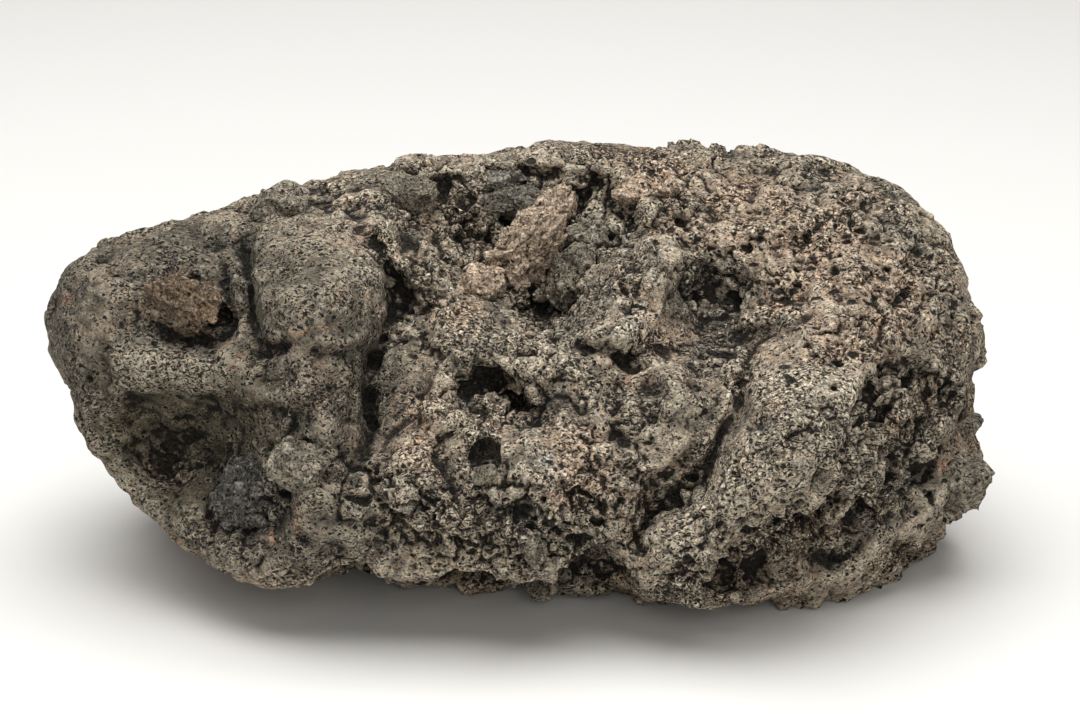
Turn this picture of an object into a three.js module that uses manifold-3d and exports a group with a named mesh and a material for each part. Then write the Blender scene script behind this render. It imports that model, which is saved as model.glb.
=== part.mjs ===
// Lava rock: one lump of vesicular lava, lying on its flattest side.
// Millimetres. +X runs along the length, +Z is up, and the broad front face looks toward -Y.
// The origin is on the surface the rock lies on, under the middle of its bounding box.

import * as THREE from 'three';
import { ImprovedNoise } from 'three/addons/math/ImprovedNoise.js';
import { mergeVertices } from 'three/addons/utils/BufferGeometryUtils.js';
import Module from 'manifold-3d';

// Driving dimensions
const LENGTH = 268; // along X, lobe to lobe
const MIDDLE_HEIGHT = 56; // from the resting face to the middle of the body
const FRONT_DEPTH = 33; // from the rim out to the broad front face, before its relief
const BACK_DEPTH = 80; // from the rim back to the far side, before its breaks
const LEAN = THREE.MathUtils.degToRad(20); // the broad face leans back this much
const RIM_OFFSET = 11; // how far in front of the middle plane the rim runs
const RIM_SLOPE = 0.38; // how much further forward the rim runs for each mm lower
const BACK_SQUARING = 0.9; // share of that slope that the far side loses
const BLOCKINESS = 2.9; // 2 is an ellipsoid, larger is squarer
const DETAIL = 19; // each icosahedron edge is split into DETAIL + 1 parts

// Directions of the leaning face: across is along X, up lies in the face, out leaves it
const UP = new THREE.Vector3(0, Math.sin(LEAN), Math.cos(LEAN));
const OUT = new THREE.Vector3(0, -Math.cos(LEAN), Math.sin(LEAN));

// Outline of the rock seen square to the leaning face, anticlockwise from the right: [across, up]
// as fractions of half the length, measured from the middle
const OUTLINE = [
  [0.975, 0.05], [0.945, 0.19], [0.9, 0.325], [0.835, 0.4], [0.675, 0.445], [0.45, 0.485],
  [0.21, 0.51], [0.045, 0.525], [-0.07, 0.475], [-0.27, 0.44], [-0.46, 0.405], [-0.585, 0.365],
  [-0.75, 0.31], [-0.91, 0.27], [-0.97, 0.195], [-0.99, 0.08], [-0.925, -0.08], [-0.83, -0.25],
  [-0.68, -0.38], [-0.5, -0.45], [-0.31, -0.42], [-0.18, -0.46], [0.05, -0.465], [0.3, -0.48],
  [0.58, -0.52], [0.85, -0.46], [0.975, -0.35], [1.0, -0.24], [0.95, -0.13], [0.95, -0.03],
];

// Relief of the front: [across, up, half width, half height, turn in degrees, outward mm, crispness 0 to 1]
const FRONT_RELIEF = {
  leftLobe: [-106, 20, 38, 24, 0, 8, 0.1],
  leftShelf: [-92, 2, 32, 9, 4, -3, 0.1],
  leftHollow: [-92, -26, 27, 22, 6, -16, 0.1],
  lowerLeftBreak: [-76, -40, 18, 13, 0, -6, 0.1],
  pillow: [-56, 22, 21, 25, -8, 12, 0.1],
  pillowFoot: [-57, -18, 18, 34, 0, 9, 0],
  pillowHollow: [-33, 20, 9, 13, 0, -8, 0],
  middleCleft: [-40, -8, 6, 22, -8, -8, 0],
  middleBlock: [-10, -26, 34, 32, 0, 6, 0.2],
  middleOverhang: [-3, -10, 18, 9, -4, -9, 0],
  middleCavity: [-9, -29, 7, 9, 0, -3, 0],
  middleShoulder: [24, 8, 34, 14, 0, 6, 0.1],
  slantCleft: [48, -28, 6, 32, -32, -7, 0],
  rightLobe: [76, -18, 32, 36, 0, 12, 0.25],
  rightShoulder: [92, 12, 26, 18, 0, 8, 0.1],
  roundHollow: [57, 18, 15, 14, 0, -14, 0.1],
  crater: [2, 32, 34, 22, -14, -15, 0.2],
  craterChunk: [3, 31, 22, 9, 38, 8, 0.1],
  craterPit: [12, 16, 12, 7, 0, -5, 0],
  leftShoulder: [-50, 46, 36, 12, 12, 4, 0.1],
};

// Relief of the back, in the same form: outward is away from the far side
const BACK_RELIEF = {
  backLobe: [-84, 14, 44, 34, 0, 9, 0.2],
  backCleft: [-34, 6, 9, 44, 14, -10, 0],
  backHollow: [22, 22, 26, 20, -10, -12, 0.1],
  backBulge: [62, -8, 40, 36, 0, 9, 0.2],
  backShelf: [8, -34, 44, 12, 6, 7, 0.2],
  backPit: [88, 26, 14, 12, 0, -8, 0],
};

// Flat breaks that trim the body: [normal x, normal y, normal z, distance from the middle]
const BREAKS = {
  top: [0, -0.33, 0.944, 45],
  lowerRightFront: [0.45, -0.756, -0.476, 93],
  rightFront: [0.8, -0.6, 0, 113],
  backLeft: [-0.58, 0.8, 0.12, 96],
  backRight: [0.6, 0.76, 0.25, 104],
  backTop: [0.04, 0.76, 0.65, 76],
  backFoot: [0, 0.92, -0.4, 78],
  leftFoot: [-0.62, -0.3, -0.72, 102],
};
const BREAK_SOFTNESS = 4; // mm over which a break rounds into the body

// Overall unevenness: [size of a lump in mm, its height in mm]
const UNEVENNESS = [[34, 3.5], [15, 2.2], [8, 1]];

const lavaGrey = new THREE.MeshStandardMaterial({ color: 0x7d766b, roughness: 0.95, metalness: 0 });

const noise = new ImprovedNoise();

// Radius of the outline for each direction round the leaning face
function makeOutlineRadius() {
  const corners = OUTLINE.map(([across, up]) => new THREE.Vector3(across, up, 0).multiplyScalar(LENGTH / 2));
  const curve = new THREE.CatmullRomCurve3(corners, true, 'centripetal');
  const steps = 720;
  const samples = curve.getPoints(steps).map((point) => ({
    angle: Math.atan2(point.y, point.x),
    radius: Math.hypot(point.x, point.y),
  }));
  samples.sort((first, second) => first.angle - second.angle);

  return (angle) => {
    const next = samples.findIndex((sample) => sample.angle >= angle);
    if (next <= 0) return samples[0].radius;
    const before = samples[next - 1];
    const after = samples[next];
    const share = (angle - before.angle) / Math.max(after.angle - before.angle, 1e-9);
    return THREE.MathUtils.lerp(before.radius, after.radius, share);
  };
}

// Sum of the relief at one place of a face
function reliefAt(relief, across, up) {
  let height = 0;
  for (const [centreAcross, centreUp, halfWidth, halfHeight, turn, outward, crispness] of Object.values(relief)) {
    const angle = THREE.MathUtils.degToRad(turn);
    const x = across - centreAcross;
    const y = up - centreUp;
    const along = (x * Math.cos(angle) + y * Math.sin(angle)) / halfWidth;
    const beside = (y * Math.cos(angle) - x * Math.sin(angle)) / halfHeight;
    const distance = Math.hypot(along, beside);
    height += outward * (1 - THREE.MathUtils.smoothstep(distance, crispness, 1.3));
  }
  return height;
}

// Point of the smooth body in one direction, in face axes: x across, y up, z out
function bodyPoint(direction, outlineRadius) {
  const { x: across, y: up, z: out } = direction;
  const spread = Math.hypot(across, up);
  const reach = (spread ** BLOCKINESS + Math.abs(out) ** BLOCKINESS) ** (-1 / BLOCKINESS);
  const radius = outlineRadius(Math.atan2(up, across)) * reach;
  const depth = out > 0 ? FRONT_DEPTH : BACK_DEPTH;
  const point = new THREE.Vector3(across * radius, up * radius, out * reach * depth);
  const leanShare = out > 0 ? 1 : 1 + BACK_SQUARING * out * reach;
  point.z += leanShare * (RIM_OFFSET - RIM_SLOPE * point.y);
  return point;
}

// Adds the lumps and hollows of the face that a point is on
function addRelief(point, out) {
  const frontShare = THREE.MathUtils.smoothstep(out, -0.2, 0.35);
  const backShare = THREE.MathUtils.smoothstep(-out, 0, 0.5);
  point.z += frontShare * reliefAt(FRONT_RELIEF, point.x, point.y);
  point.z -= backShare * reliefAt(BACK_RELIEF, point.x, point.y);
}

// Turns face axes into the rock's own axes
function toRockAxes(point) {
  return new THREE.Vector3(point.x, 0, MIDDLE_HEIGHT)
    .addScaledVector(UP, point.y)
    .addScaledVector(OUT, point.z);
}

// Pushes a point back behind each flat break, with a rounded edge
function trimToBreaks(point) {
  for (const [x, y, z, distance] of Object.values(BREAKS)) {
    const normal = new THREE.Vector3(x, y, z).normalize();
    const height = point.x * normal.x + point.y * normal.y + (point.z - MIDDLE_HEIGHT) * normal.z;
    const past = (height - distance) / BREAK_SOFTNESS;
    const excess = past > 20 ? past : Math.log1p(Math.exp(past));
    point.addScaledVector(normal, -excess * BREAK_SOFTNESS * 0.9);
  }
}

// Small lumps everywhere, pushed along the direction from the middle
function addUnevenness(point, outward) {
  let height = 0;
  for (const [size, amount] of UNEVENNESS) {
    height += amount * noise.noise(point.x / size + 7.3, point.y / size + 1.9, point.z / size + 4.1);
  }
  point.addScaledVector(outward, height);
}

function makeBody() {
  const geometry = new THREE.IcosahedronGeometry(1, DETAIL);
  geometry.deleteAttribute('normal');
  geometry.deleteAttribute('uv');
  const merged = mergeVertices(geometry, 1e-5);
  const outlineRadius = makeOutlineRadius();
  const position = merged.attributes.position;
  const middle = new THREE.Vector3(0, 0, MIDDLE_HEIGHT);
  for (let index = 0; index < position.count; index += 1) {
    const direction = new THREE.Vector3().fromBufferAttribute(position, index).normalize();
    const facePoint = bodyPoint(direction, outlineRadius);
    addRelief(facePoint, direction.z);
    const point = toRockAxes(facePoint);
    trimToBreaks(point);
    addUnevenness(point, point.clone().sub(middle).normalize());
    position.setXYZ(index, point.x, point.y, point.z);
  }
  return merged;
}

const wasm = await Module();
wasm.setup();

function toSolid(geometry) {
  const vertProperties = new Float32Array(geometry.attributes.position.array);
  const triVerts = new Uint32Array(geometry.index.array);
  return new wasm.Manifold(new wasm.Mesh({ numProp: 3, vertProperties, triVerts }));
}

function toGeometry(solid) {
  const mesh = solid.getMesh();
  const geometry = new THREE.BufferGeometry();
  geometry.setAttribute('position', new THREE.BufferAttribute(new Float32Array(mesh.vertProperties), 3));
  geometry.setIndex(new THREE.BufferAttribute(new Uint32Array(mesh.triVerts), 1));
  return geometry;
}

// Everything below the surface it lies on is taken off, which leaves the flat resting face
function makeGround() {
  const ground = new THREE.BoxGeometry(2 * LENGTH, 2 * LENGTH, LENGTH);
  ground.translate(0, 0, -LENGTH / 2);
  ground.deleteAttribute('normal');
  ground.deleteAttribute('uv');
  return mergeVertices(ground);
}

function makeRock() {
  const solid = toSolid(makeBody()).subtract(toSolid(makeGround()));
  const geometry = toGeometry(solid);
  geometry.computeBoundingBox();
  const centre = geometry.boundingBox.getCenter(new THREE.Vector3());
  geometry.translate(-centre.x, -centre.y, 0);
  geometry.computeVertexNormals();
  const rock = new THREE.Mesh(geometry, lavaGrey);
  rock.name = 'lava_rock';
  return rock;
}

const part = new THREE.Group();
part.add(makeRock());

export default part;
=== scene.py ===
import math
import bmesh
import bpy
import numpy as np
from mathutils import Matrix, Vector


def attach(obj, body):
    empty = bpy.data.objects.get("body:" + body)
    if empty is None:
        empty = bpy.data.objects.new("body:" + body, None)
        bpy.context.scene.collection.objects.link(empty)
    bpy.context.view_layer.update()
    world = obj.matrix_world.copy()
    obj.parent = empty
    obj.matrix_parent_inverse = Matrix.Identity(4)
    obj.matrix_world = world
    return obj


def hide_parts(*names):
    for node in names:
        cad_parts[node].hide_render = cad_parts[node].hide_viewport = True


# One lump of porous lava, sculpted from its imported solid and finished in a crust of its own.
# The broad front face leans back, so it has axes of its own, in millimetres from the middle of the rock:
# across runs along X, up runs up the face, and out leaves it.

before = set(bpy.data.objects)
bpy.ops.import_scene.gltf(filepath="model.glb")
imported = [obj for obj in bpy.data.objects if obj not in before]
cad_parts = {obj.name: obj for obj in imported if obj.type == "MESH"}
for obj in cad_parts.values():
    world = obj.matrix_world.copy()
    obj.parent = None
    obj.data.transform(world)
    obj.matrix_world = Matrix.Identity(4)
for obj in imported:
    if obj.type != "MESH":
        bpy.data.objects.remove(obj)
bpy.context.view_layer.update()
scene = bpy.context.scene
mm = 0.001

rockFrame = {
    "lean": 20.0,          # degrees that the face leans back
    "middleHeight": 57.6,  # mm above the resting face
    "rimOut": 11.0,        # where the rim between front and back runs, in mm out
    "rimSlope": 0.38,      # and how much further out for each mm lower
}
lean = math.radians(rockFrame["lean"])
faceMiddle = np.array([0.0, 0.0, rockFrame["middleHeight"]], np.float32)
faceUp = np.array([0.0, math.sin(lean), math.cos(lean)], np.float32)
faceOut = np.array([0.0, -math.cos(lean), math.sin(lean)], np.float32)
faceAxes = np.stack([np.array([1.0, 0.0, 0.0], np.float32), faceUp, faceOut])


def toFace(points):
    return (points - faceMiddle) @ faceAxes.T


def fromFace(points):
    return points @ faceAxes + faceMiddle


# camera, light and floor

cameraSettings = {
    "distance": 963,   # mm from the middle of the rock
    "lens": 112.7,
    "aimAcross": 6.7,  # the view's middle lies a little right of the rock's
}
lightSettings = {
    "overheadPower": 20.5, "overheadSize": 1.3, "overheadPlace": (-0.05, 0.02, 1.15),
    "frontPower": 4.1, "frontSize": 0.8, "frontPlace": (0.2, -1.15, 0.5),
    "aim": (0, 0, 0.05), "airStrength": 0.22,
}
floorSettings = {
    "halfSize": 4.0,  # metres
    "colour": (0.815, 0.80, 0.772, 1.0),
}


def aimAt(thing, target):
    thing.rotation_euler = (Vector(target) - thing.location).to_track_quat("-Z", "Y").to_euler()


def makeCamera():
    camera = bpy.data.objects.new("camera", bpy.data.cameras.new("camera"))
    scene.collection.objects.link(camera)
    aim = Vector((cameraSettings["aimAcross"], 0, rockFrame["middleHeight"])) * mm
    camera.location = aim + Vector([float(v) for v in faceOut]) * cameraSettings["distance"] * mm
    aimAt(camera, aim)
    camera.data.lens = cameraSettings["lens"]
    camera.data.sensor_width = 36
    camera.data.clip_start = 0.01
    scene.camera = camera


def makeSoftbox(name, place, size, power):
    light = bpy.data.objects.new(name, bpy.data.lights.new(name, "AREA"))
    scene.collection.objects.link(light)
    light.data.shape = "SQUARE"
    light.data.size = size
    light.data.energy = power
    light.location = place
    aimAt(light, lightSettings["aim"])


def makeLights():
    settings = lightSettings
    makeSoftbox("overhead softbox", settings["overheadPlace"], settings["overheadSize"],
                settings["overheadPower"])
    makeSoftbox("front softbox", settings["frontPlace"], settings["frontSize"], settings["frontPower"])
    world = bpy.data.worlds.new("studio air")
    world.use_nodes = True
    air = world.node_tree.nodes["Background"]
    air.inputs["Color"].default_value = (1.0, 0.995, 0.98, 1)
    air.inputs["Strength"].default_value = settings["airStrength"]
    scene.world = world
    scene.view_settings.view_transform = "Standard"
    scene.view_settings.look = "None"


def makeFloor():
    half = floorSettings["halfSize"]
    corners = [(-half, -half, 0), (half, -half, 0), (half, half, 0), (-half, half, 0)]
    sheet = bpy.data.meshes.new("pale floor")
    sheet.from_pydata(corners, [], [(0, 1, 2, 3)])
    floor = bpy.data.objects.new("pale floor", sheet)
    scene.collection.objects.link(floor)
    paint = bpy.data.materials.new("pale floor")
    paint.use_nodes = True
    shader = paint.node_tree.nodes["Principled BSDF"]
    shader.inputs["Base Color"].default_value = floorSettings["colour"]
    shader.inputs["Roughness"].default_value = 0.9
    sheet.materials.append(paint)


makeCamera()
makeLights()
makeFloor()
print("camera, lights and floor made")


# noise, the same in every run

def cellHash(x, y, z, seed):
    h = x * np.uint32(374761393) + y * np.uint32(668265263) + z * np.uint32(2246822519)
    h += np.uint32((seed * 3266489917 + 12345) & 0xFFFFFFFF)
    h ^= h >> np.uint32(15)
    h *= np.uint32(2246822519)
    h ^= h >> np.uint32(13)
    h *= np.uint32(3266489917)
    h ^= h >> np.uint32(16)
    return h


# the ways in which the noise can rise at a corner of its grid
cornerSlopes = np.array([
    (1, 1, 0), (-1, 1, 0), (1, -1, 0), (-1, -1, 0), (1, 0, 1), (-1, 0, 1), (1, 0, -1), (-1, 0, -1),
    (0, 1, 1), (0, -1, 1), (0, 1, -1), (0, -1, -1), (1, 1, 0), (0, -1, 1), (-1, 1, 0), (0, -1, -1),
], np.float32)


def smoothNoise(points, size, seed):  # about -1 to 1, with lumps of that size
    scaled = (points / size).astype(np.float32)
    low = np.floor(scaled)
    part = scaled - low
    cell = low.astype(np.int32).astype(np.uint32)
    ease = part * part * part * (part * (part * 6 - 15) + 10)
    total = np.zeros(len(points), np.float32)
    for dx in (0, 1):
        for dy in (0, 1):
            for dz in (0, 1):
                step = (np.uint32(dx), np.uint32(dy), np.uint32(dz))
                pick = cellHash(cell[:, 0] + step[0], cell[:, 1] + step[1], cell[:, 2] + step[2], seed)
                slope = cornerSlopes[pick & np.uint32(15)]
                share = ease[:, 0] if dx else 1 - ease[:, 0]
                share = share * (ease[:, 1] if dy else 1 - ease[:, 1])
                share = share * (ease[:, 2] if dz else 1 - ease[:, 2])
                fall = slope[:, 0] * (part[:, 0] - dx) + slope[:, 1] * (part[:, 1] - dy)
                total += share * (fall + slope[:, 2] * (part[:, 2] - dz))
    return total


def layeredNoise(points, size, layers, seed):  # each layer half as large and half as strong
    total = np.zeros(len(points), np.float32)
    for layer in range(layers):
        total += 0.5 ** layer * smoothNoise(points, size / 2 ** layer, seed + layer * 17)
    return total


# distances to the nearest two grains, the nearest one's number from 0 to 1, and the slope of its face
def cellNoise(points, size, seed):
    scaled = (points / size).astype(np.float32)
    low = np.floor(scaled)
    part = scaled - low
    cell = low.astype(np.int32)
    nearest = np.full(len(points), 9.0, np.float32)
    second = np.full(len(points), 9.0, np.float32)
    number = np.zeros(len(points), np.float32)
    facet = np.zeros(len(points), np.float32)
    for dx in (-1, 0, 1):
        for dy in (-1, 0, 1):
            for dz in (-1, 0, 1):
                at = (cell + np.array((dx, dy, dz), np.int32)).astype(np.uint32)
                pick = cellHash(at[:, 0], at[:, 1], at[:, 2], seed)
                jitterX, jitterY, jitterZ = [
                    ((pick >> np.uint32(bits)) & np.uint32(1023)).astype(np.float32) / 1023
                    for bits in (0, 10, 20)]
                toX = dx + jitterX - part[:, 0]
                toY = dy + jitterY - part[:, 1]
                toZ = dz + jitterZ - part[:, 2]
                away = toX ** 2 + toY ** 2 + toZ ** 2
                closer = away < nearest
                second = np.where(closer, nearest, np.minimum(second, away))
                number = np.where(closer, jitterX * 0.5 + jitterZ * 0.5, number)
                slope = toX * (jitterY - 0.5) + toY * (jitterZ - 0.5) + toZ * (jitterX - 0.5)
                facet = np.where(closer, slope * 2.4, facet)
                nearest = np.where(closer, away, nearest)
    return np.sqrt(nearest), np.sqrt(second), number, facet


def ramp(low, high, value):  # 0 below low, 1 above high, smooth between
    share = np.clip((value - low) / (high - low), 0, 1)
    return share * share * (3 - 2 * share)


# mesh helpers, in millimetres

def readPoints(mesh):
    flat = np.empty(len(mesh.vertices) * 3, np.float32)
    mesh.vertices.foreach_get("co", flat)
    return flat.reshape(-1, 3) / mm


def writePoints(mesh, points):
    mesh.vertices.foreach_set("co", (points * mm).astype(np.float32).ravel())
    mesh.update()


def readNormals(mesh):
    flat = np.empty(len(mesh.vertices) * 3, np.float32)
    mesh.vertex_normals.foreach_get("vector", flat)
    return flat.reshape(-1, 3)


def makeAverager(mesh):  # a function that averages any value with its neighbours'
    flat = np.empty(len(mesh.edges) * 2, np.int32)
    mesh.edges.foreach_get("vertices", flat)
    edges = flat.reshape(-1, 2)
    count = len(mesh.vertices)
    start = np.concatenate([edges[:, 0], edges[:, 1]])
    end = np.concatenate([edges[:, 1], edges[:, 0]])
    ties = np.maximum(np.bincount(start, minlength=count), 1)

    def average(values, rounds=1):
        for _ in range(rounds):
            if values.ndim == 1:
                sums = np.bincount(start, weights=values[end], minlength=count)
                values = ((sums / ties + values) / 2).astype(np.float32)
            else:
                sums = np.stack([np.bincount(start, weights=values[end, axis], minlength=count)
                                 for axis in range(values.shape[1])], 1)
                values = ((sums / ties[:, None] + values) / 2).astype(np.float32)
        return values
    return average


def applyModifiers(thing):
    graph = bpy.context.evaluated_depsgraph_get()
    mesh = bpy.data.meshes.new_from_object(thing.evaluated_get(graph))
    thing.modifiers.clear()
    old = thing.data
    thing.data = mesh
    bpy.data.meshes.remove(old)


def reskin(thing, voxel):  # an even skin of small squares in place of the old faces
    skin = thing.modifiers.new("even skin", "REMESH")
    skin.mode = "VOXEL"
    skin.voxel_size = voxel * mm
    applyModifiers(thing)


# outlines, all in (across, up) on the leaning face

pillowOutline = [(-73, 25), (-72, 33.5), (-68, 38.5), (-60.5, 40.5), (-51, 38.5), (-43, 33.5),
                 (-37, 26.5), (-35, 16.5), (-36, 8), (-44.5, 3.5), (-58, 3.5), (-67.5, 5), (-70.5, 14.5)]
leftHollowOutline = [(-113.5, -10), (-103, -8), (-87.5, -9), (-74, -8.5), (-66.5, -10.5), (-65, -19),
                     (-68, -26), (-79.5, -30.5), (-85, -38.5), (-93, -44), (-103, -40), (-110, -30.5),
                     (-114, -19.5)]
clinkerOutline = [(-84, -38.5), (-82.5, -30.5), (-73.5, -26), (-69.5, -28), (-62, -31.5), (-60.5, -39),
                  (-66, -46), (-76, -46.5), (-83, -42.5)]
claspedStoneOutline = [(-99, 20.5), (-91, 23), (-83.5, 20.5), (-78, 14.5), (-79, 10.5), (-85, 6.5),
                       (-93.5, 8), (-99, 13.5)]
leftFaceOutline = [(-34.5, 6.5), (-24.5, 6.5), (-20.5, 2), (-22.5, -7), (-27.5, -19), (-36.5, -25.5),
                   (-38, -11)]
craterOutline = [(-32.5, 47.5), (-21.5, 51.5), (-7.5, 53), (6.5, 54), (23.5, 53), (34.5, 46), (34.5, 36),
                 (29, 32.5), (18.5, 24), (12, 8), (1, 9.5), (-12.5, 16), (-20.5, 16), (-25, 19),
                 (-28.5, 27.5), (-32, 37)]
brownChunkOutline = [(6, 41), (11, 45), (15.5, 44.5), (16, 37), (11, 33.5), (9.5, 28.5), (10.5, 22.5),
                     (8.5, 17), (3, 17.5), (-0.5, 20), (-5, 23), (-9.5, 28.5), (-4, 32), (3, 35.5)]
roundHollowOutline = [(47, 20.5), (51, 25), (57.5, 26), (63.5, 22), (64, 15), (60.5, 11.5), (52, 10.5),
                      (48, 13.5)]
tongueOutline = [(34, 8), (39.5, 11.5), (46.5, 9.5), (45.5, 4), (38, 4)]
plateauOutline = [(68, 42), (90, 40), (112, 22), (104, 4), (92, -1), (66, 0), (64, 12), (68, 24),
                  (50, 32), (40, 38)]
tanShelfOutline = [(52, 49), (63, 51), (76, 47.5), (76, 41), (65, 40), (55, 43)]
middleHollowOutline = [(-20, -5), (-15, -5.5), (-9.5, -4.5), (-4, -3.5), (1.5, -7), (6, -12.5),
                       (5, -15.5), (0, -18), (-5.5, -16.5), (-9.5, -13), (-16, -13.5), (-18.5, -9.5)]
rightUndersideOutline = [(95, -2), (118, -6), (134, -24), (130, -44), (100, -52), (84, -62), (46, -64),
                         (46, -57), (64, -42), (77, -36), (90, -31)]
footRidgeOutline = [(-60.5, -37), (-49, -34.5), (-38.5, -37.5), (-36, -48.5), (-44, -50.5), (-52, -48.5),
                    (-57.5, -45.5), (-60, -41.5)]


def plate(outline, rise, edge=2.0, dome=0.0, domeReach=8.0, slide=(0, 0)):
    return {"outline": outline, "rise": rise, "edge": edge, "dome": dome, "domeReach": domeReach,
            "slide": slide}


# stretches that stand proud or lie sunken: mm out, width of the edge, extra crown and its reach in mm,
# and how far the surface slides across and up
broadPlates = {
    "socket": plate([(-100, 19), (-97, 24.5), (-90, 27), (-82, 24), (-76, 18), (-75, 8), (-80, 5),
                     (-87, 9), (-92, 16)], -2.5, 2.2, slide=(0, 1)),
    "shelf": plate([(-112, 3), (-104, 5), (-88, 3), (-74, 4), (-58, 2), (-54, -12), (-64, -11),
                    (-74, -9.5), (-88, -9), (-103, -8), (-110, -4)], 5, 2.6, 1.5, slide=(0, -2)),
    "pillow": plate(pillowOutline, 6, 1.6, 5, 14),
    "pillowFoot": plate([(-58, 4), (-36, 8), (-38, -2), (-39.5, -12), (-40, -22), (-44, -32), (-54, -30),
                         (-56, -18), (-62, -8)], 4, 4, 3, 9),
    "lip": plate([(-52, 42), (-45, 41), (-37, 38), (-31, 31), (-27, 23), (-23, 16.5), (-26, 14.5),
                  (-31, 20.5), (-35, 27), (-40, 33.5), (-46, 37), (-51.5, 38)], 5, 1.4, 1.5, 4),
    "leftFace": plate(leftFaceOutline, -2, 3, -2, 7),
    "middleCrown": plate([(-24, 5), (-15, -2), (-4, 0), (6.5, 2), (16, 2), (30, 0), (44, -3), (50, -14),
                          (44, -28), (34, -38), (28, -48), (10, -50), (-10, -52), (-30, -50), (-38, -40),
                          (-36, -26), (-26, -17), (-22, -6)], 3.5, 2.5, 2.5, 12),
    "rightLobe": plate([(62, -2), (79, -1), (94, -3), (93, -26), (89, -32), (76, -37), (71, -37),
                        (63, -43), (56, -49), (44, -59), (34, -60), (32, -45), (44, -37), (52, -28),
                        (57, -16)], 4.5, 1.8, 4, 14),
    "lobeFoot": plate([(95, -32), (89.5, -33), (76.5, -37.5), (71.5, -38), (63.5, -43.5), (56.5, -49),
                       (46, -58), (52, -64), (88, -60), (100, -48)], -7, 2.2, -3, 10),
    "sideStep": plate([(97, -1), (100, -22), (96, -36), (104, -48), (124, -46), (132, -20), (112, 0)], -7,
                      2.4, 0),
    "crater": plate(craterOutline, -5, 2.4, -5, 14),
    "craterWall": plate([(-30, 36), (-21, 38), (-12, 33), (-10, 22), (-17, 17), (-25, 20)], 5, 3, 4, 8),
    "footRidge": plate(footRidgeOutline, 4, 2.2, 1.5, 6),
}
smallPlates = {
    "pillowHollow": plate([(-36, 25), (-33, 27), (-29, 21), (-24, 16), (-26, 11), (-31, 9.5), (-35.5, 12),
                           (-36.5, 19)], -5, 2.2, -3, 6),
    "middleHollow": plate(middleHollowOutline, -3.5, 2.4, -2.5, 7, slide=(0, 2)),
    "hollowFloor": plate([(-17, -13), (-12, -11), (-9, -15), (-4, -19), (-12, -20), (-18, -17)], 1.5, 1.2,
                         1, 4),
    "dome": plate([(12, 8), (15.5, 15.5), (18, 19.5), (18.5, 24), (21.5, 28), (29, 33), (36, 36),
                   (45, 36), (47, 27), (41, 23), (40, 11), (32, 6), (20, 4)], 4, 1.8, 3.5, 12),
    "paleLump": plate([(18.5, 4), (19, 9.5), (24.5, 11.5), (32.5, 11), (36.5, 6.5), (33.5, 2.5),
                       (25.5, 1)], 3, 1.6, 1.5, 5),
    "upperLedge": plate([(-24, 5), (-14, -1.5), (-4, 0.5), (7, 3), (10, 7), (2, 9), (-12, 14), (-22, 14)],
                        2.5, 1.3, 1, 5, slide=(0, -1)),
    "roundHollow": plate(roundHollowOutline, -1.5, 4.5, -1.5, 9),
    "tongue": plate(tongueOutline, 2, 1.6, 0.5),
    "roundWall": plate([(38, 22), (47, 25), (47, 12), (39, 11)], 2.5, 1.8, 1.5, 5),
    "porousBlock": plate([(28.5, 45.5), (34.5, 46), (41, 44.5), (38.5, 37), (33, 35.5), (29.5, 40)], 4,
                         1.6, 1.5, 5),
    "tanShelf": plate(tanShelfOutline, -3.5, 1.6, 0, slide=(0, 1)),
    "rimBlocks": plate([(-69, 49.5), (-61.5, 50.5), (-59, 45), (-64.5, 40), (-71, 40.5), (-73.5, 46.5)],
                       4, 1.6, 1.5, 5),
    "sideKnob": plate([(98, -4), (110, -6), (114, -14), (106, -22), (99, -20)], 3.5, 1.8, 2, 6),
    "sideRib": plate([(108, -14), (118, -10), (122, -22), (112, -28), (106, -24)], 3, 1.6, 1.5, 5),
    "sidePit": plate([(109, -27), (118, -28.5), (117, -35), (110, -36)], -5, 1.6, -2, 5),
    "footLump": plate([(-2, -46), (10, -46), (12, -56), (4, -60), (-6, -58)], 2.5, 2.0, 1.5, 5),
}

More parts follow.
